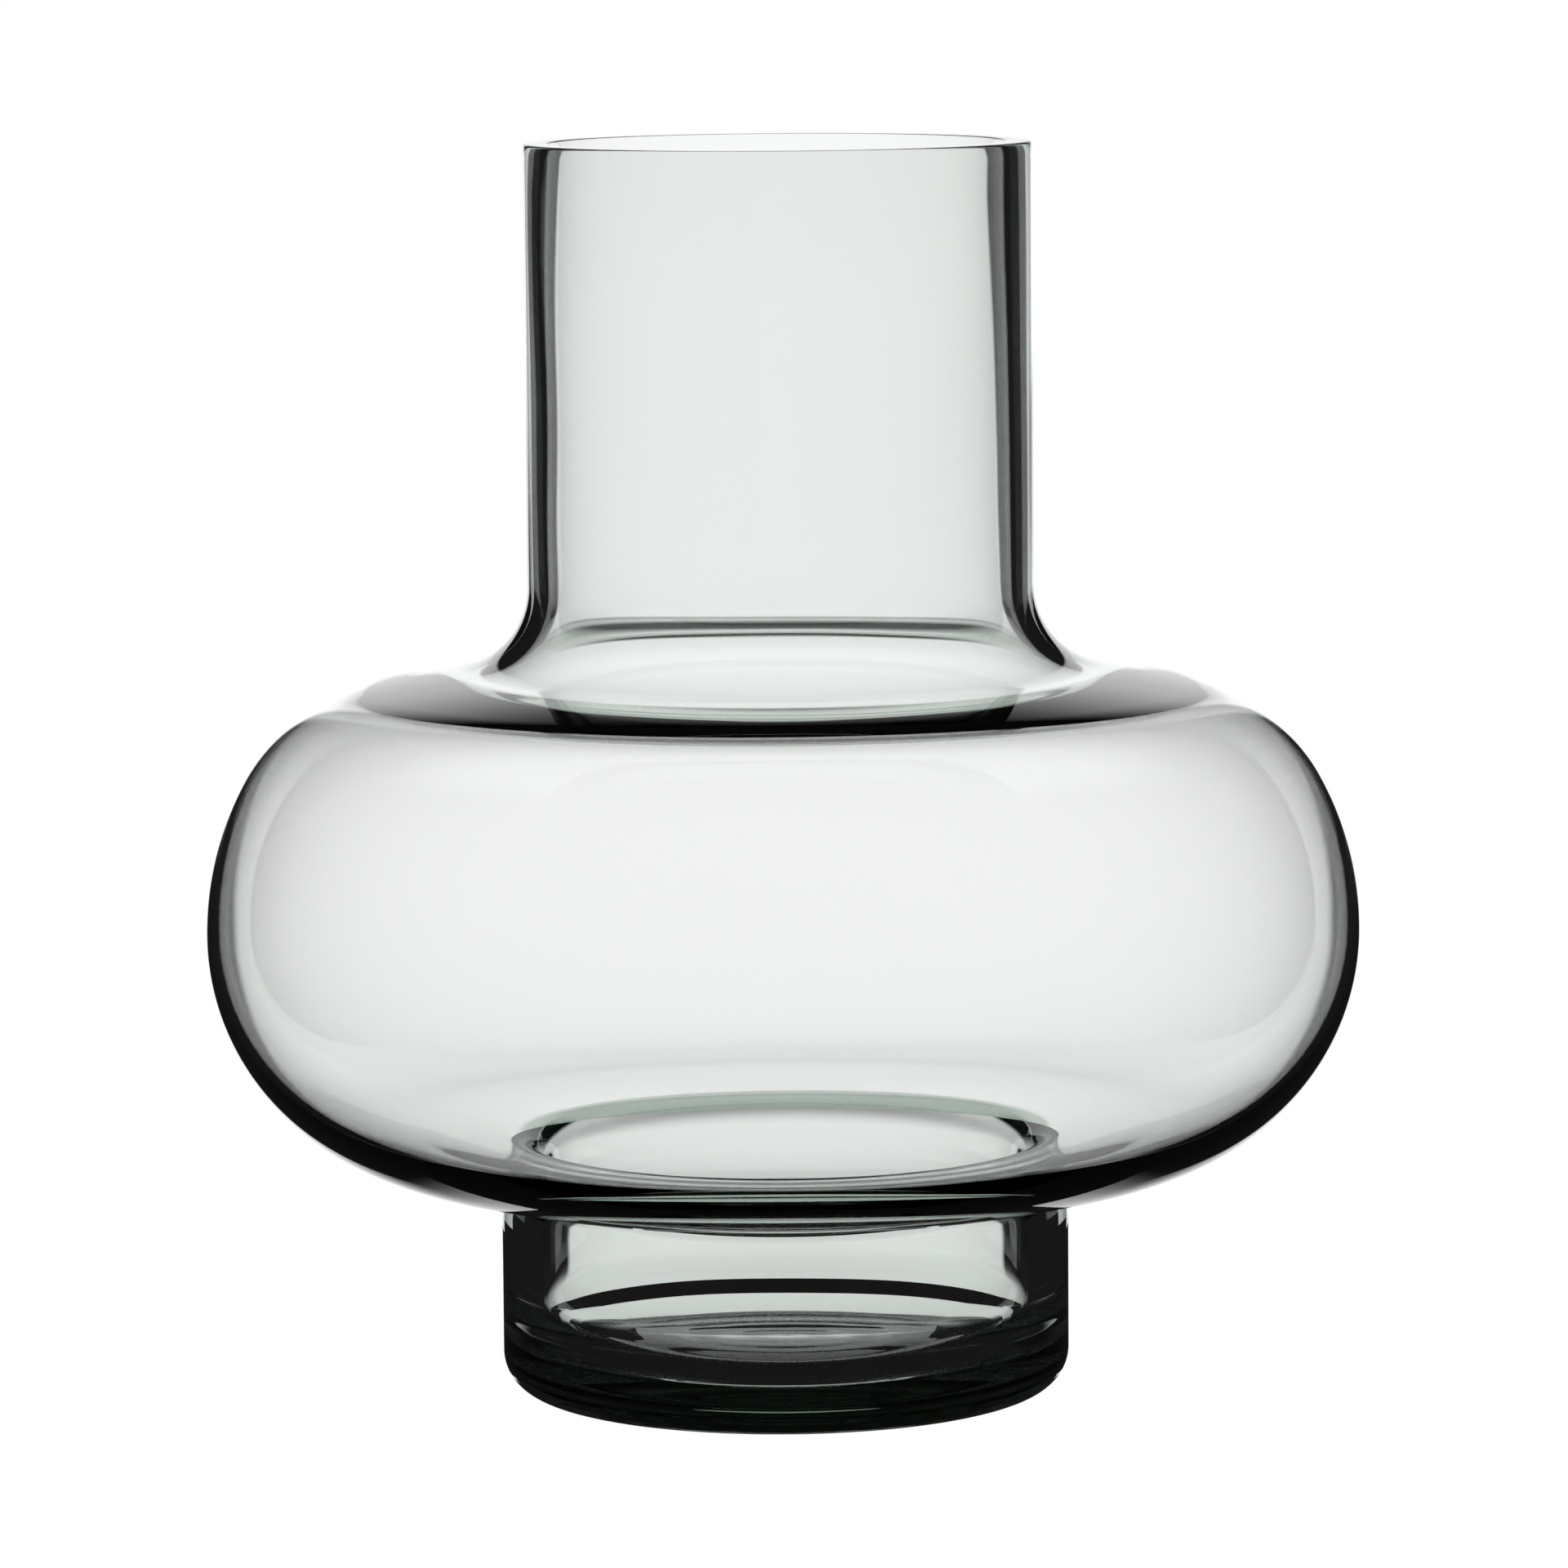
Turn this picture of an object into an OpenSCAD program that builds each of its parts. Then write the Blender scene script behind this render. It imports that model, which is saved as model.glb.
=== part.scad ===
// A mouth-blown clear glass vase: a straight round neck on a wide flattened bulb, standing on
// a short thick-walled foot. The whole vase is one piece of glass, and the inside of the foot
// is open to the bulb. Millimetres, +Z up, the origin at the centre of the base.

/* [Outside] */
// Height from the table to the rim
height = 330; // [315:1:350]
// Outside diameter of the neck
neck_d = 133; // [128:1:138]
// Outside diameter of the bulb at its widest
bulb_d = 304; // [298:1:312]
// Height of the bulb's widest line above the table
widest_z = 123; // [121:1:130]
// Outside diameter of the foot
foot_d = 150; // [144:1:156]
// Radius of the foot's bottom corner
foot_corner_r = 11; // [8:0.5:12]

/* [Bulb curves] */
// Radius of the curve below the widest line
low_curve_r = 65; // [62:1:66]
// Angle that curve turns through before the flatter underside starts
low_curve_turn = 75; // [73:1:77]
// Radius of the bulb's flatter underside
underside_r = 340; // [250:5:450]
// Radius of the curve above the widest line
high_curve_r = 83; // [78:1:88]
// Angle that curve turns through before the tighter shoulder starts
high_curve_turn = 29; // [25:1:33]
// Radius of the shoulder's edge
shoulder_r = 50; // [46:1:54]
// Angle the shoulder's edge turns through
shoulder_turn = 48; // [44:1:51]
// Radius of the shoulder's flatter top
shoulder_top_r = 320; // [250:5:400]
// Radius of the sweep from the shoulder up into the neck
neck_sweep_r = 22; // [16:1:28]

/* [Glass thickness] */
// Wall at the mouth
mouth_wall = 7; // [6.5:0.1:8]
// Length of the straight inside wall at the mouth
mouth_land = 16; // [8:1:24]
// Length over which the mouth's wall thins to the neck's wall
mouth_taper = 40; // [20:1:50]
// Wall of the neck
neck_wall = 5.8; // [5:0.1:6.4]
// Wall where the shoulder sweeps up into the neck
sweep_wall = 7.2; // [6:0.1:8]
// Wall along the shoulder's edge
shoulder_wall = 2.6; // [2.2:0.1:4]
// Wall at the bulb's widest line
bulb_wall = 2.8; // [2.4:0.1:4]
// Wall halfway down the curve below the widest line
low_wall = 4.3; // [3.5:0.1:5.5]
// Wall of the bulb's underside
underside_wall = 7.2; // [6.5:0.1:8]
// Wall of the foot
foot_wall = 10.5; // [9:0.5:12]

/* [Foot inside] */
// Thickness of the foot's floor
floor_thick = 10.5; // [8:0.5:13]
// Rounding of the edge where the bulb's inside floor turns down into the foot
opening_edge_r = 12; // [8:0.5:14]
// Rounding between the foot's inside wall and its floor
floor_corner_r = 18; // [8:1:22]

/* [Rim and base] */
// Rounding of both edges of the rim
rim_round = 0.7; // [0.4:0.1:1.5]
// Diameter of the polished hollow under the base
hollow_d = 92; // [60:1:100]
// Depth of the polished hollow under the base
hollow_depth = 4; // [1:0.1:5]

/* [Hidden] */
glass_colour = [0.80, 0.87, 0.84, 0.5];
// Largest angle one straight edge of a curve stands for
edge_angle = 4;
// Radius on the outside as far as which the bulb's inside follows the underside
inside_start_r = 100;
$fn = 96;

neck_r = neck_d / 2;
bulb_r = bulb_d / 2;
foot_r = foot_d / 2;
hollow_r = hollow_d / 2;
mouth_bore_r = neck_r - mouth_wall;
foot_bore_r = foot_r - foot_wall;

// The outline's curves meet without a kink, so each centre lies on the line through the last
// curve's centre and the point where the two curves meet.
low_centre = [bulb_r - low_curve_r, widest_z];
underside_centre = next_centre(low_centre, low_curve_r, underside_r, -low_curve_turn);
underside_end = -acos((foot_r - underside_centre.x) / underside_r);
inside_start = -acos((inside_start_r - underside_centre.x) / underside_r);

high_centre = [bulb_r - high_curve_r, widest_z];
shoulder_start = high_curve_turn;
shoulder_centre = next_centre(high_centre, high_curve_r, shoulder_r, shoulder_start);
top_start = shoulder_start + shoulder_turn;
top_centre = next_centre(shoulder_centre, shoulder_r, shoulder_top_r, top_start);

// The sweep into the neck touches the neck's side and the shoulder's top.
sweep_x = neck_r + neck_sweep_r;
sweep_z = top_centre.y + sqrt(pow(shoulder_top_r + neck_sweep_r, 2) - pow(sweep_x - top_centre.x, 2));
top_end = atan2(sweep_z - top_centre.y, sweep_x - top_centre.x);

// The inside follows the underside as far as inside_start, then runs on straight at the slope
// it has there, down to the rounded edge of the foot's opening.
inside_slope = 90 + inside_start;
inside_end = arc_point(underside_centre, underside_r - underside_wall, inside_start);
edge_x = foot_bore_r + opening_edge_r;
edge_z = inside_end.y - (inside_end.x - edge_x) * tan(inside_slope) - opening_edge_r / cos(inside_slope);

// Radius of the sphere that cuts the polished hollow, and half the angle it spans.
dish_r = (pow(hollow_r, 2) + pow(hollow_depth, 2)) / (2 * hollow_depth);
dish_angle = asin(hollow_r / dish_r);

function next_centre(centre, r_from, r_to, angle) =
    centre - (r_to - r_from) * [cos(angle), sin(angle)];

function arc_point(centre, r, angle) = centre + r * [cos(angle), sin(angle)];

// An arc whose radius changes evenly from r_from to r_to
function blend_points(centre, r_from, r_to, from, to, step = edge_angle) =
    let (n = max(2, ceil(abs(to - from) / step)))
    [for (i = [0 : n]) arc_point(centre, r_from + (r_to - r_from) * i / n, from + (to - from) * i / n)];

function arc_points(centre, r, from, to, step = edge_angle) =
    blend_points(centre, r, r, from, to, step);

// The outside from the middle of the base up to the rim's outer edge
function outside_points() = concat(
    arc_points([0, hollow_depth - dish_r], dish_r, 90, 90 - dish_angle, dish_angle / 6),
    arc_points([foot_r - foot_corner_r, foot_corner_r], foot_corner_r, -90, 0, 10),
    arc_points(underside_centre, underside_r, underside_end, -low_curve_turn, 1),
    arc_points(low_centre, low_curve_r, -low_curve_turn, 0),
    arc_points(high_centre, high_curve_r, 0, shoulder_start),
    arc_points(shoulder_centre, shoulder_r, shoulder_start, top_start),
    arc_points(top_centre, shoulder_top_r, top_start, top_end, 1),
    arc_points([sweep_x, sweep_z], neck_sweep_r, top_end - 180, -180, 8),
    arc_points([neck_r - rim_round, height - rim_round], rim_round, 0, 90, 30)
);

// The inside from the rim's inner edge down to the middle of the floor
function inside_points() = concat(
    arc_points([mouth_bore_r + rim_round, height - rim_round], rim_round, 90, 180, 30),
    [
        [mouth_bore_r, height - rim_round - mouth_land],
        [neck_r - neck_wall, height - rim_round - mouth_land - mouth_taper]
    ],
    blend_points([sweep_x, sweep_z], neck_sweep_r + neck_wall, neck_sweep_r + sweep_wall,
                 -180, top_end - 180, 8),
    blend_points(top_centre, shoulder_top_r - sweep_wall, shoulder_top_r - shoulder_wall,
                 top_end, top_start, 1),
    arc_points(shoulder_centre, shoulder_r - shoulder_wall, top_start, shoulder_start),
    blend_points(high_centre, high_curve_r - shoulder_wall, high_curve_r - bulb_wall,
                 shoulder_start, 0),
    blend_points(low_centre, low_curve_r - bulb_wall, low_curve_r - low_wall,
                 0, -low_curve_turn / 2),
    blend_points(low_centre, low_curve_r - low_wall, low_curve_r - underside_wall,
                 -low_curve_turn / 2, -low_curve_turn),
    arc_points(underside_centre, underside_r - underside_wall, -low_curve_turn, inside_start, 1),
    arc_points([edge_x, edge_z], opening_edge_r, 90 + inside_slope, 180, 12),
    arc_points([foot_bore_r - floor_corner_r, floor_thick + floor_corner_r], floor_corner_r, 0, -90, 10),
    [[0, floor_thick]]
);

module glass_vessel() {
    color(glass_colour)
    rotate_extrude()
    polygon(concat(outside_points(), inside_points()));
}

glass_vessel();
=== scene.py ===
"""Looks for the mouth-blown glass vase: the glass itself, the studio round it and the camera.

Metres, +Z up, the vase's axis on Z and its base on z = 0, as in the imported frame.
"""

import math

import bpy
from mathutils import Matrix, Vector


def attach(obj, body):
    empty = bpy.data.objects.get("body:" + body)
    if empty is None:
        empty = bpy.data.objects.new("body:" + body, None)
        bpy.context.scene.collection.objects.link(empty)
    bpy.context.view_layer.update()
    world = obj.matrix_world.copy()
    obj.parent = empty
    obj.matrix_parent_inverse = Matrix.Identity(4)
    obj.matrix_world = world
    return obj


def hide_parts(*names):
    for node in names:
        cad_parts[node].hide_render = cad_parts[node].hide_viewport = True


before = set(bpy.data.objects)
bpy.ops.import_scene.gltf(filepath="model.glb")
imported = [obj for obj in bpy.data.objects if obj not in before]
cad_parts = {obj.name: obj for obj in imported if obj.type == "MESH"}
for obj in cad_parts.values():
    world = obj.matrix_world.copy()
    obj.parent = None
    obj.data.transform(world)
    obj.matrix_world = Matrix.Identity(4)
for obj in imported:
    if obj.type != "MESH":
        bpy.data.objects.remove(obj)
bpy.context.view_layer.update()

MM = 0.001
# Points closer than this are one point
SAME_POINT = 1e-6

# ---- The vase's outside: the part's sizes, with the bulb 0.1 mm less to stay in the part's box ----
HEIGHT = 330 * MM
NECK_R = 66.5 * MM
BULB_R = 151.9 * MM
FOOT_R = 75 * MM
WIDEST_Z = 123 * MM
FOOT_CORNER_R = 11 * MM
LOW_CURVE_R, LOW_CURVE_TURN = 65 * MM, 75
UNDERSIDE_R = 340 * MM
HIGH_CURVE_R, HIGH_CURVE_TURN = 83 * MM, 29
SHOULDER_R, SHOULDER_TURN = 50 * MM, 48
SHOULDER_TOP_R = 320 * MM
NECK_SWEEP_R = 22 * MM
RIM_ROUND = 0.7 * MM
HOLLOW_R, HOLLOW_DEPTH = 46 * MM, 4 * MM

# ---- Glass thickness, square to the outside, from the underside up to the mouth ---------------
INSIDE_START_R = 100 * MM
WALL_UNDERSIDE = 7.3 * MM
WALL_LOW_END = 7.0 * MM
LOW_MIDDLE = 45
WALL_LOW_MIDDLE = 4.3 * MM
WALL_WIDEST = 2.8 * MM
WALL_HIGH_END = 2.35 * MM
WALL_SHOULDER = 2.4 * MM
WALL_TOP_START = 2.9 * MM
WALL_TOP_MIDDLE = 6.25 * MM
WALL_TOP_END = 7.2 * MM
WALL_NECK_FOOT = 5.6 * MM
WALL_NECK = 5.8 * MM
WALL_MOUTH = 6.8 * MM
NECK_FOOT_FADE = 45 * MM
MOUTH_FADE = 55 * MM

# ---- The foot's inside -------------------------------------------------------------------------
FOOT_BORE_R = 64.5 * MM
OPENING_EDGE_R = 12 * MM
FLOOR_THICK = 10.5 * MM
FLOOR_DIP = 0.6 * MM
FLOOR_CORNER_R = 18 * MM

# ---- Hand-blown unevenness ---------------------------------------------------------------------
RIPPLE, RIPPLE_GAP = 0.12 * MM, 13 * MM
BORE_SHIFT = -0.4 * MM
BORE_SHIFT_FROM, BORE_SHIFT_FULL = 195 * MM, 240 * MM
# Waves of the inside: how many go round, how high, where they start, and their turn per metre up
WAVES = ((3, 0.05 * MM, 0.9, 34), (5, 0.03 * MM, 2.1, -51), (8, 0.012 * MM, 0.4, 83))
# They grow over these heights, and die away over these distances below the rim
WAVES_FROM, WAVES_FULL = 20 * MM, 60 * MM
WAVES_FADE, WAVES_END = 12 * MM, 2 * MM

# ---- Fineness: degrees for arcs, metres for straight runs --------------------------------------
ARC_STEP = 1.5
UNDERSIDE_STEP, WAIST_STEP, TOP_STEP = 0.3, 0.5, 0.25
SWEEP_STEP, CORNER_STEP, RIM_STEP = 3, 5, 15
RUN_STEP, BASE_STEP = 3 * MM, 5 * MM
DISH_STEPS, FLOOR_STEPS = 12, 56
SEGMENTS = 360
SHARP_ANGLE = 25
CIRCLE_SIDES, DISC_SIDES, CARD_STEP = 96, 64, 3

# ---- Glass -------------------------------------------------------------------------------------
IOR = 1.5
TINT, TINT_DENSITY = (0.125, 0.28, 0.18), 16
WAVINESS_SCALE, WAVINESS_HEIGHT = 22, 0.03 * MM
SCUFF_SCALE, SCUFF_HEIGHT, SCUFF_ROUGHNESS = 900, 0.5 * MM, 0.5
MAX_BOUNCES, MAX_REFLECTIONS = 24, 6

# ---- Camera: metres, degrees, and millimetres for the lens -------------------------------------
CAMERA_DISTANCE = 2.048
CAMERA_HEIGHT = 0.4043
CAMERA_SIDE = 0.0005
CAMERA_TILT = 6.772
CAMERA_ROLL = -0.43
FOCAL_LENGTH = 179.64375
SENSOR = 36.0
CLIP_END = 50

# ---- Studio ------------------------------------------------------------------------------------
WHITE = (1, 1, 1)
DARK = (0.012, 0.012, 0.0115)
FLOOR_HALF, FLOOR_Z = 6.0, -0.5 * MM
PANEL_LIGHT = 1.11
PANEL_DISTANCE = 0.68
PANEL_HALF_WIDTH, PANEL_SIDE_FADE = 0.262, 0.012
PANEL_LOW, PANEL_HIGH, PANEL_END_FADE = -0.24, 0.50, 0.15
# The panel for the view from behind, 15 degrees up
BEHIND_DISTANCE, BEHIND_LOW, BEHIND_HIGH = 1.5, -0.75, 0.05
# Panels for steeper views lie far off and low, where the main view's light doesn't reach
STEEP_DISTANCE, STEEP_HALF_WIDTH, STEEP_LOW, STEEP_HIGH = 3.0, 0.45, -2.2, -0.78
UNDER_R, UNDER_Z = 2.2, -2.8
SHADE_R, SHADE_Z = 75 * MM, -0.3 * MM
SHADE_START, SHADE_END = 5 * MM, 30 * MM
STRIP_LIGHT, STRIP_Z = 1.06, SHADE_Z - 0.1 * MM
STRIP_HALF_WIDTH, STRIP_SIDE_FULL = 0.13, 0.078
STRIP_NEAR, STRIP_FAR, STRIP_FAR_FULL = 0.0, 0.20, 0.08
CARD_R, CARD_EDGE, CARD_MIDDLE, CARD_HIGH = 77 * MM, 6.5 * MM, 13 * MM, 17 * MM
SIDE_CARD_HIGH, SIDE_CARD_FROM, SIDE_CARD_TO = 42 * MM, -60, 50


# ---- Outline ---------------------------------------------------------------------------------
def polar(centre, r, degrees):
    a = math.radians(degrees)
    return centre[0] + r * math.cos(a), centre[1] + r * math.sin(a)


def next_centre(centre, r_from, r_to, degrees):
    """The centre of a curve that carries on without a kink from another at that angle."""
    return polar(centre, r_from - r_to, degrees)


def arc(centre, r, start, end, step=ARC_STEP):
    count = max(2, math.ceil(abs(end - start) / step))
    return [polar(centre, r, start + (end - start) * i / count) for i in range(count + 1)]


def between(a, b, share):
    return a[0] + (b[0] - a[0]) * share, a[1] + (b[1] - a[1]) * share


def line(a, b, step=RUN_STEP):
    count = max(1, math.ceil(math.dist(a, b) / step))
    return [between(a, b, i / count) for i in range(count + 1)]


def joined(*stretches):
    """The stretches end to end, each shared end kept once."""
    points = []
    for stretch in stretches:
        for p in stretch:
            if not points or math.dist(points[-1], p) > SAME_POINT:
                points.append(p)
    return points


def smooth_through(knots):
    """A monotone curve through (place, value) knots, as a function of the place."""
    places, values = zip(*knots)
    gaps = [b - a for a, b in zip(places, places[1:])]
    rises = [(b - a) / g for a, b, g in zip(values, values[1:], gaps)]
    slopes = [rises[0]]
    for (ra, rb), (ga, gb) in zip(zip(rises, rises[1:]), zip(gaps, gaps[1:])):
        wa, wb = 2 * gb + ga, gb + 2 * ga
        slopes.append((wa + wb) / (wa / ra + wb / rb) if ra * rb > 0 else 0)
    slopes.append(rises[-1])

    def value(s):
        i = max(0, min(len(gaps) - 1, sum(1 for p in places[1:] if s > p)))
        g = gaps[i]
        t = (s - places[i]) / g
        u = 1 - t
        return (values[i] * u * u * (1 + 2 * t) + values[i + 1] * t * t * (3 - 2 * t)
                + g * slopes[i] * t * u * u - g * slopes[i + 1] * t * t * u)

    return value


low_centre = (BULB_R - LOW_CURVE_R, WIDEST_Z)
underside_centre = next_centre(low_centre, LOW_CURVE_R, UNDERSIDE_R, -LOW_CURVE_TURN)
underside_end = -math.degrees(math.acos((FOOT_R - underside_centre[0]) / UNDERSIDE_R))
inside_start = -math.degrees(math.acos((INSIDE_START_R - underside_centre[0]) / UNDERSIDE_R))
high_centre = (BULB_R - HIGH_CURVE_R, WIDEST_Z)
shoulder_centre = next_centre(high_centre, HIGH_CURVE_R, SHOULDER_R, HIGH_CURVE_TURN)
shoulder_middle = HIGH_CURVE_TURN + SHOULDER_TURN / 2
top_start = HIGH_CURVE_TURN + SHOULDER_TURN
top_centre = next_centre(shoulder_centre, SHOULDER_R, SHOULDER_TOP_R, top_start)
sweep_x = NECK_R + NECK_SWEEP_R
sweep_z = top_centre[1] + math.sqrt((SHOULDER_TOP_R + NECK_SWEEP_R) ** 2 - (sweep_x - top_centre[0]) ** 2)
top_end = math.degrees(math.atan2(sweep_z - top_centre[1], sweep_x - top_centre[0]))
top_middle = (top_start + top_end) / 2
neck_low = (NECK_R, sweep_z + NECK_FOOT_FADE)
neck_high = (NECK_R, HEIGHT - MOUTH_FADE)

# The outside above the inside's starting radius, in stretches, each with the wall at its end
MAIN_STRETCHES = (
    (arc(underside_centre, UNDERSIDE_R, inside_start, -LOW_CURVE_TURN, UNDERSIDE_STEP), WALL_LOW_END),
    (arc(low_centre, LOW_CURVE_R, -LOW_CURVE_TURN, -LOW_MIDDLE), WALL_LOW_MIDDLE),
    (arc(low_centre, LOW_CURVE_R, -LOW_MIDDLE, 0), WALL_WIDEST),
    (arc(high_centre, HIGH_CURVE_R, 0, HIGH_CURVE_TURN), WALL_HIGH_END),
    (arc(shoulder_centre, SHOULDER_R, HIGH_CURVE_TURN, shoulder_middle), WALL_SHOULDER),
    (arc(shoulder_centre, SHOULDER_R, shoulder_middle, top_start), WALL_TOP_START),
    (arc(top_centre, SHOULDER_TOP_R, top_start, top_middle, TOP_STEP), WALL_TOP_MIDDLE),
    (arc(top_centre, SHOULDER_TOP_R, top_middle, top_end, TOP_STEP), WALL_TOP_END),
    (arc((sweep_x, sweep_z), NECK_SWEEP_R, top_end - 180, -180, SWEEP_STEP), WALL_NECK_FOOT),
    (line((NECK_R, sweep_z), neck_low), WALL_NECK),
    (line(neck_low, neck_high), WALL_NECK),
    (line(neck_high, (NECK_R, HEIGHT - RIM_ROUND)), WALL_MOUTH),
)


def outside_outline():
    """The whole outside, from the middle of the hollow under the base up to the rim."""
    dish_r = (HOLLOW_R ** 2 + HOLLOW_DEPTH ** 2) / (2 * HOLLOW_DEPTH)
    dish_angle = math.degrees(math.asin(HOLLOW_R / dish_r))
    waist = polar(underside_centre, UNDERSIDE_R, underside_end)
    return joined(
        arc((0, HOLLOW_DEPTH - dish_r), dish_r, 90, 90 - dish_angle, dish_angle / DISH_STEPS),
        line((HOLLOW_R, 0), (FOOT_R - FOOT_CORNER_R, 0), BASE_STEP),
        arc((FOOT_R - FOOT_CORNER_R, FOOT_CORNER_R), FOOT_CORNER_R, -90, 0, CORNER_STEP),
        line((FOOT_R, FOOT_CORNER_R), waist),
        arc(underside_centre, UNDERSIDE_R, underside_end, inside_start, WAIST_STEP),
        *(points for points, wall in MAIN_STRETCHES),
        arc((NECK_R - RIM_ROUND, HEIGHT - RIM_ROUND), RIM_ROUND, 0, 90, RIM_STEP),
    )


def main_inside():
    """The inside from the mouth down to the starting radius, set in by the wall's thickness."""
    outside, places, knots = [], [0], [(0, WALL_UNDERSIDE)]
    for points, wall in MAIN_STRETCHES:
        for p in points:
            if outside and math.dist(outside[-1], p) < SAME_POINT:
                continue
            if outside:
                places.append(places[-1] + math.dist(outside[-1], p))
            outside.append(p)
        knots.append((places[-1], wall))
    wall_at = smooth_through(knots)
    inside = []
    for i, (r, z) in enumerate(outside):
        a, b = outside[max(0, i - 1)], outside[min(len(outside) - 1, i + 1)]
        dr, dz = b[0] - a[0], b[1] - a[1]
        t = wall_at(places[i]) / math.hypot(dr, dz)
        inside.append((r - dz * t, z + dr * t))
    return inside[::-1]


def inside_outline():
    """The whole inside, from the rim down over the edge of the foot's opening to the floor's middle."""
    main = main_inside()
    mouth_r = main[0][0]
    before, last = main[-2:]
    slope = math.atan2(before[1] - last[1], before[0] - last[0])
    edge_x = FOOT_BORE_R + OPENING_EDGE_R
    edge_z = last[1] - (last[0] - edge_x) * math.tan(slope) - OPENING_EDGE_R / math.cos(slope)
    edge = arc((edge_x, edge_z), OPENING_EDGE_R, 90 + math.degrees(slope), 180, CORNER_STEP)
    corner = (FOOT_BORE_R - FLOOR_CORNER_R, FLOOR_THICK + FLOOR_CORNER_R)
    floor = []
    for i in range(FLOOR_STEPS + 1):
        r = corner[0] * (1 - i / FLOOR_STEPS)
        dip = FLOOR_DIP * (1 - (r / corner[0]) ** 2) ** 2
        ripple = RIPPLE * math.sin(math.pi * r / corner[0]) * math.cos(2 * math.pi * r / RIPPLE_GAP)
        floor.append((r, FLOOR_THICK - dip + ripple))
    return joined(
        arc((mouth_r + RIM_ROUND, HEIGHT - RIM_ROUND), RIM_ROUND, 90, 180, RIM_STEP),
        main,
        line(last, edge[0]),
        edge,
        line(edge[-1], polar(corner, FLOOR_CORNER_R, 0)),
        arc(corner, FLOOR_CORNER_R, 0, -90, CORNER_STEP),
        floor,
    )


# ---- Mesh ------------------------------------------------------------------------------------
def eased(value, start, end):
    t = min(1, max(0, (value - start) / (end - start)))
    return t * t * (3 - 2 * t)


def add_object(name, verts, faces):
    mesh = bpy.data.meshes.new(name)
    mesh.from_pydata(verts, [], faces)
    obj = bpy.data.objects.new(name, mesh)
    bpy.context.scene.collection.objects.link(obj)
    return obj


def lathe(name, outside, inside, segments):
    """A closed mesh from an outline that starts and ends on the axis; the inside is a bit uneven."""
    verts, rings, faces = [], [], []
    for i, (r, z) in enumerate(outside + inside):
        if r < SAME_POINT:
            rings.append([len(verts)] * segments)
            verts.append((0, 0, z))
            continue
        rings.append(range(len(verts), len(verts) + segments))
        inner = i >= len(outside)
        below_rim = 1 - eased(z, HEIGHT - WAVES_FADE, HEIGHT - WAVES_END)
        uneven = inner * eased(z, WAVES_FROM, WAVES_FULL) * below_rim
        shift = inner * BORE_SHIFT * eased(z, BORE_SHIFT_FROM, BORE_SHIFT_FULL)
        for s in range(segments):
            a = 2 * math.pi * s / segments
            wave = sum(size * math.sin(count * a + start + turn * z) for count, size, start, turn in WAVES)
            ring_r = r + uneven * wave
            verts.append((ring_r * math.cos(a) + shift, ring_r * math.sin(a), z))
    for low, high in zip(rings, rings[1:]):
        for s in range(segments):
            t = (s + 1) % segments
            corners = [low[s], low[t], high[t], high[s]]
            faces.append(list(dict.fromkeys(corners)))
    obj = add_object(name, verts, faces)
    obj.data.validate()
    obj.data.shade_smooth()
    obj.data.set_sharp_from_angle(angle=math.radians(SHARP_ANGLE))
    return obj


# ---- Materials -------------------------------------------------------------------------------
def new_material(name):
    mat = bpy.data.materials.new(name)
    mat.use_nodes = True
    return mat, mat.node_tree.nodes, mat.node_tree.links


def calculated(nodes, links, operation, first, second=None):
    """A maths node's result; the second value is a number or another node's output."""
    node = nodes.new("ShaderNodeMath")
    node.operation = operation
    links.new(first, node.inputs[0])
    if isinstance(second, (int, float)):
        node.inputs[1].default_value = second
    elif second is not None:
        links.new(second, node.inputs[1])
    return node.outputs[0]


def fade(nodes, links, source, none_at, full_at):
    node = nodes.new("ShaderNodeMapRange")
    node.interpolation_type = "SMOOTHSTEP"
    node.inputs["From Min"].default_value = none_at
    node.inputs["From Max"].default_value = full_at
    links.new(source, node.inputs["Value"])
    return node.outputs["Result"]


def object_place(nodes):
    return nodes.new("ShaderNodeTexCoord").outputs["Object"]


def object_axes(nodes, links):
    """The place on the object, split into X, Y and Z."""
    split = nodes.new("ShaderNodeSeparateXYZ")
    links.new(object_place(nodes), split.inputs["Vector"])
    return split.outputs


def noise(nodes, links, place, scale, detail):
    node = nodes.new("ShaderNodeTexNoise")
    node.inputs["Scale"].default_value = scale
    node.inputs["Detail"].default_value = detail
    links.new(place, node.inputs["Vector"])
    return node.outputs["Fac"]


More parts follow.
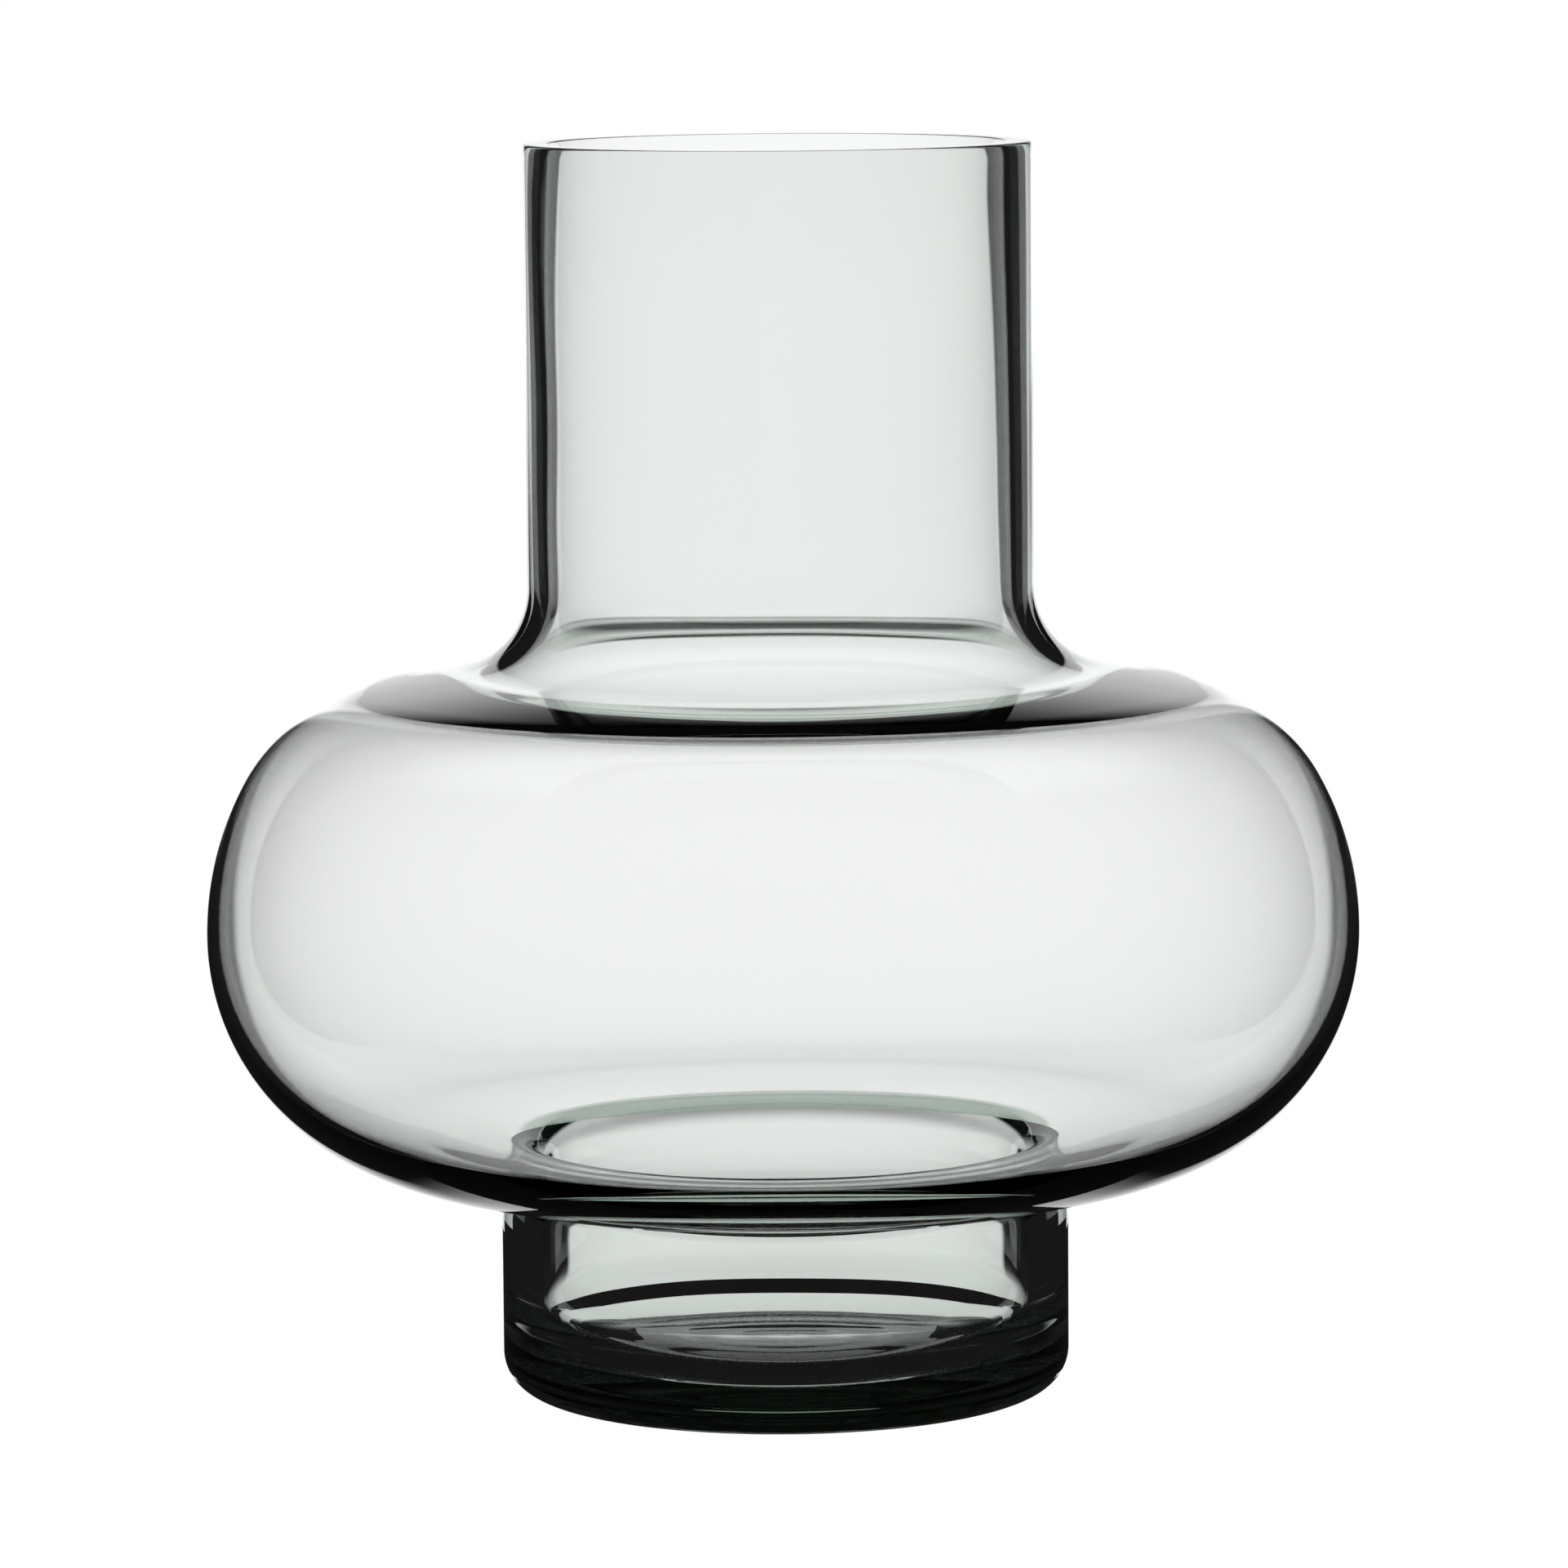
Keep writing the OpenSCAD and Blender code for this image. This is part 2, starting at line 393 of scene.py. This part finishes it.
def glass_material():
    """Tinted clear glass, wavy from hand blowing, with a scuffed standing ring."""
    mat, nodes, links = new_material("blown_glass")
    shader = nodes["Principled BSDF"]
    shader.inputs["Base Color"].default_value = (*WHITE, 1)
    shader.inputs["Transmission Weight"].default_value = 1
    shader.inputs["IOR"].default_value = IOR
    place = object_place(nodes)
    axis = object_axes(nodes, links)

    bump = nodes.new("ShaderNodeBump")
    bump.inputs["Strength"].default_value = 1
    bump.inputs["Distance"].default_value = WAVINESS_HEIGHT
    links.new(noise(nodes, links, place, WAVINESS_SCALE, 1), bump.inputs["Height"])
    links.new(bump.outputs["Normal"], shader.inputs["Normal"])

    ring = nodes.new("ShaderNodeMapRange")
    ring.inputs["From Min"].default_value = SCUFF_HEIGHT
    ring.inputs["From Max"].default_value = 0
    ring.inputs["To Min"].default_value = 0
    ring.inputs["To Max"].default_value = SCUFF_ROUGHNESS
    links.new(axis["Z"], ring.inputs["Value"])
    scuffs = noise(nodes, links, place, SCUFF_SCALE, 4)
    rough = calculated(nodes, links, "MULTIPLY", ring.outputs["Result"], scuffs)
    links.new(rough, shader.inputs["Roughness"])

    absorb = nodes.new("ShaderNodeVolumeAbsorption")
    absorb.inputs["Color"].default_value = (*TINT, 1)
    absorb.inputs["Density"].default_value = TINT_DENSITY
    links.new(absorb.outputs[0], nodes["Material Output"].inputs["Volume"])
    return mat


def glow_material(name, colour):
    mat, nodes, links = new_material(name)
    nodes.remove(nodes["Principled BSDF"])
    glow = nodes.new("ShaderNodeEmission")
    glow.inputs["Color"].default_value = (*colour, 1)
    glow.inputs["Strength"].default_value = 1
    links.new(glow.outputs[0], nodes["Material Output"].inputs["Surface"])
    return mat, nodes, links


def make_clear_but_for(cover, nodes, links):
    """Leaves a glow material in place only as far as the cover says; the rest turns clear."""
    clear = nodes.new("ShaderNodeBsdfTransparent")
    mix = nodes.new("ShaderNodeMixShader")
    links.new(cover, mix.inputs["Fac"])
    links.new(clear.outputs[0], mix.inputs[1])
    links.new(nodes["Emission"].outputs[0], mix.inputs[2])
    links.new(mix.outputs[0], nodes["Material Output"].inputs["Surface"])


def reflection_count(nodes, links):
    """How often light has been reflected on its way, leaving out passes through the glass."""
    path = nodes.new("ShaderNodeLightPath").outputs
    return calculated(nodes, links, "SUBTRACT", path["Ray Depth"], path["Transmission Depth"])


def straight_factor(nodes, links):
    """1 for light that has only passed through the glass, 0 once it has been reflected."""
    return calculated(nodes, links, "LESS_THAN", reflection_count(nodes, links), 0.5)


def soft_panel_material(name, half_width, low, high, straight_only):
    """White in the middle, fading out at its edges. Straight-only panels light what is seen
    through the glass and don't show as reflections on it."""
    mat, nodes, links = glow_material(name, (PANEL_LIGHT,) * 3)
    axis = object_axes(nodes, links)
    side = calculated(nodes, links, "ABSOLUTE", axis["X"])
    across = fade(nodes, links, side, half_width + PANEL_SIDE_FADE, half_width - PANEL_SIDE_FADE)
    bottom = fade(nodes, links, axis["Z"], low - PANEL_END_FADE, low + PANEL_END_FADE)
    top = fade(nodes, links, axis["Z"], high + PANEL_END_FADE, high - PANEL_END_FADE)
    upright = calculated(nodes, links, "MULTIPLY", bottom, top)
    strength = calculated(nodes, links, "MULTIPLY", across, upright)
    if straight_only:
        strength = calculated(nodes, links, "MULTIPLY", strength, straight_factor(nodes, links))
    links.new(strength, nodes["Emission"].inputs["Strength"])
    return mat


def lit_strip_material():
    mat, nodes, links = glow_material("lit_floor", (STRIP_LIGHT,) * 3)
    axis = object_axes(nodes, links)
    side = calculated(nodes, links, "ABSOLUTE", axis["X"])
    across = fade(nodes, links, side, STRIP_HALF_WIDTH, STRIP_SIDE_FULL)
    along = fade(nodes, links, axis["Y"], STRIP_FAR, STRIP_FAR_FULL)
    make_clear_but_for(calculated(nodes, links, "MULTIPLY", across, along), nodes, links)
    return mat


def shade_material():
    """Dark at the front and clear towards the back, where the floor is lit through the glass."""
    mat, nodes, links = glow_material("shaded_floor", DARK)
    axis = object_axes(nodes, links)
    make_clear_but_for(fade(nodes, links, axis["Y"], SHADE_END, SHADE_START), nodes, links)
    return mat


def card_material(name, reflections):
    """Dark, but only to light reflected more often than that, so straight views stay clear."""
    mat, nodes, links = glow_material(name, DARK)
    count = reflection_count(nodes, links)
    make_clear_but_for(calculated(nodes, links, "GREATER_THAN", count, reflections + 0.5), nodes, links)
    return mat


def under_light_material():
    mat, nodes, links = glow_material("under_light", (PANEL_LIGHT,) * 3)
    links.new(straight_factor(nodes, links), nodes["Emission"].inputs["Strength"])
    return mat


# ---- Studio ----------------------------------------------------------------------------------
def make_world():
    """White to the camera and dark to everything else, as a room round a lit backdrop is."""
    world = bpy.data.worlds.new("studio")
    bpy.context.scene.world = world
    world.use_nodes = True
    nodes, links = world.node_tree.nodes, world.node_tree.links
    nodes.clear()
    path = nodes.new("ShaderNodeLightPath")
    mix = nodes.new("ShaderNodeMixShader")
    out = nodes.new("ShaderNodeOutputWorld")
    links.new(path.outputs["Is Camera Ray"], mix.inputs["Fac"])
    for socket, colour in ((1, DARK), (2, WHITE)):
        background = nodes.new("ShaderNodeBackground")
        background.inputs["Color"].default_value = (*colour, 1)
        links.new(background.outputs[0], mix.inputs[socket])
    links.new(mix.outputs[0], out.inputs["Surface"])


def make_panel(name, azimuth, distance, half_width, low, high, straight_only=True):
    """A white light panel behind the vase as seen from that view azimuth."""
    w = half_width + PANEL_SIDE_FADE
    z0, z1 = low - PANEL_END_FADE, high + PANEL_END_FADE
    obj = add_object(name, [(-w, 0, z0), (w, 0, z0), (w, 0, z1), (-w, 0, z1)], [(0, 1, 2, 3)])
    turn = Matrix.Rotation(math.radians(azimuth), 4, "Z")
    obj.matrix_world = turn @ Matrix.Translation(Vector((0, distance, 0)))
    obj.data.materials.append(soft_panel_material(name, half_width, low, high, straight_only))
    obj.visible_camera = False


def make_panels():
    near = (PANEL_DISTANCE, PANEL_HALF_WIDTH, PANEL_LOW, PANEL_HIGH)
    make_panel("panel_main", 0, *near, straight_only=False)
    for quarter in (90, 180, 270):
        make_panel(f"panel_{quarter}", quarter, *near)
    for steep in (45, 135, 315):
        make_panel(f"panel_{steep}", steep, STEEP_DISTANCE, STEEP_HALF_WIDTH, STEEP_LOW, STEEP_HIGH)
    make_panel("panel_225", 225, BEHIND_DISTANCE, PANEL_HALF_WIDTH, BEHIND_LOW, BEHIND_HIGH)


def make_floor():
    """The pale floor that the camera sees; the glass looks past it to the pieces below."""
    s = FLOOR_HALF
    obj = add_object("floor", [(-s, -s, 0), (s, -s, 0), (s, s, 0), (-s, s, 0)], [(0, 1, 2, 3)])
    obj.location.z = FLOOR_Z
    obj.data.materials.append(glow_material("pale_floor", WHITE)[0])
    obj.visible_transmission = False
    obj.visible_glossy = False


def add_disc(name, radius, z, sides, material):
    bpy.ops.mesh.primitive_circle_add(vertices=sides, radius=radius, fill_type="NGON", location=(0, 0, z))
    disc = bpy.context.object
    disc.name = name
    disc.data.materials.append(material)
    disc.visible_camera = False
    return disc


def make_contact_shade():
    """The shaded floor under the front of the foot, as it shows through the glass."""
    shade = add_disc("contact_shade", SHADE_R, SHADE_Z, CIRCLE_SIDES, shade_material())


def make_under_light():
    """A white disc far below, for views from high above; only straight light reaches it."""
    disc = add_disc("under_light", UNDER_R, UNDER_Z, DISC_SIDES, under_light_material())


def make_lit_strip():
    """The lit floor close behind the vase, as it shows through the glass, fading out at its edges."""
    w, near, far = STRIP_HALF_WIDTH, STRIP_NEAR, STRIP_FAR
    corners = [(-w, near, 0), (w, near, 0), (w, far, 0), (-w, far, 0)]
    strip = add_object("lit_strip", corners, [(0, 1, 2, 3)])
    strip.location.z = STRIP_Z
    strip.data.materials.append(lit_strip_material())
    strip.visible_camera = False


def make_card(name, start, end, low, high, material):
    """An upright dark card, bent round the foot between two angles from +X."""
    steps = math.ceil((end - start) / CARD_STEP)
    verts, faces = [], []
    for i in range(steps + 1):
        x, y = polar((0, 0), CARD_R, start + (end - start) * i / steps)
        verts += [(x, y, low), (x, y, high)]
    for i in range(steps):
        faces.append((2 * i, 2 * i + 2, 2 * i + 3, 2 * i + 1))
    card = add_object(name, verts, faces)
    card.data.materials.append(material)
    card.visible_camera = False


def make_cards():
    """Cards that keep the panel's light out of the base's edge and the foot's sides."""
    to_all = glow_material("dark_card_edge", DARK)[0]
    turned_once = card_material("dark_card_once", 0)
    turned_twice = card_material("dark_card_twice", 1)
    side_height = (CARD_HIGH, SIDE_CARD_HIGH)
    make_card("card_ring", 0, 360, 0, CARD_EDGE, turned_once)
    make_card("card_edge", 0, 360, CARD_EDGE, CARD_MIDDLE, to_all)
    make_card("card_middle", 0, 360, CARD_MIDDLE, CARD_HIGH, turned_once)
    make_card("card_right", SIDE_CARD_FROM, SIDE_CARD_TO, *side_height, turned_once)
    make_card("card_left", 180 - SIDE_CARD_TO, 180 - SIDE_CARD_FROM, *side_height, turned_once)
    make_card("card_back", SIDE_CARD_TO, 180 - SIDE_CARD_TO, *side_height, turned_twice)


def make_camera():
    cam = bpy.data.objects.new("camera", bpy.data.cameras.new("camera"))
    bpy.context.scene.collection.objects.link(cam)
    cam.data.sensor_width = SENSOR
    cam.data.lens = FOCAL_LENGTH
    cam.data.clip_end = CLIP_END
    place = Matrix.Translation(Vector((CAMERA_SIDE, -CAMERA_DISTANCE, CAMERA_HEIGHT)))
    look = Matrix.Rotation(math.radians(90 - CAMERA_TILT), 4, "X")
    roll = Matrix.Rotation(math.radians(CAMERA_ROLL), 4, "Z")
    cam.matrix_world = place @ look @ roll
    bpy.context.scene.camera = cam


# ---- The scene -------------------------------------------------------------------------------
make_camera()
make_world()
make_floor()
make_contact_shade()
make_lit_strip()
make_cards()
make_under_light()
make_panels()

vessel = lathe("blown_vessel", outside_outline(), inside_outline(), SEGMENTS)
vessel.data.materials.append(glass_material())
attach(vessel, "root")
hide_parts("glass_vessel")

bpy.context.scene.view_settings.view_transform = "Standard"
bpy.context.scene.cycles.max_bounces = MAX_BOUNCES
bpy.context.scene.cycles.transmission_bounces = MAX_BOUNCES
bpy.context.scene.cycles.glossy_bounces = MAX_REFLECTIONS
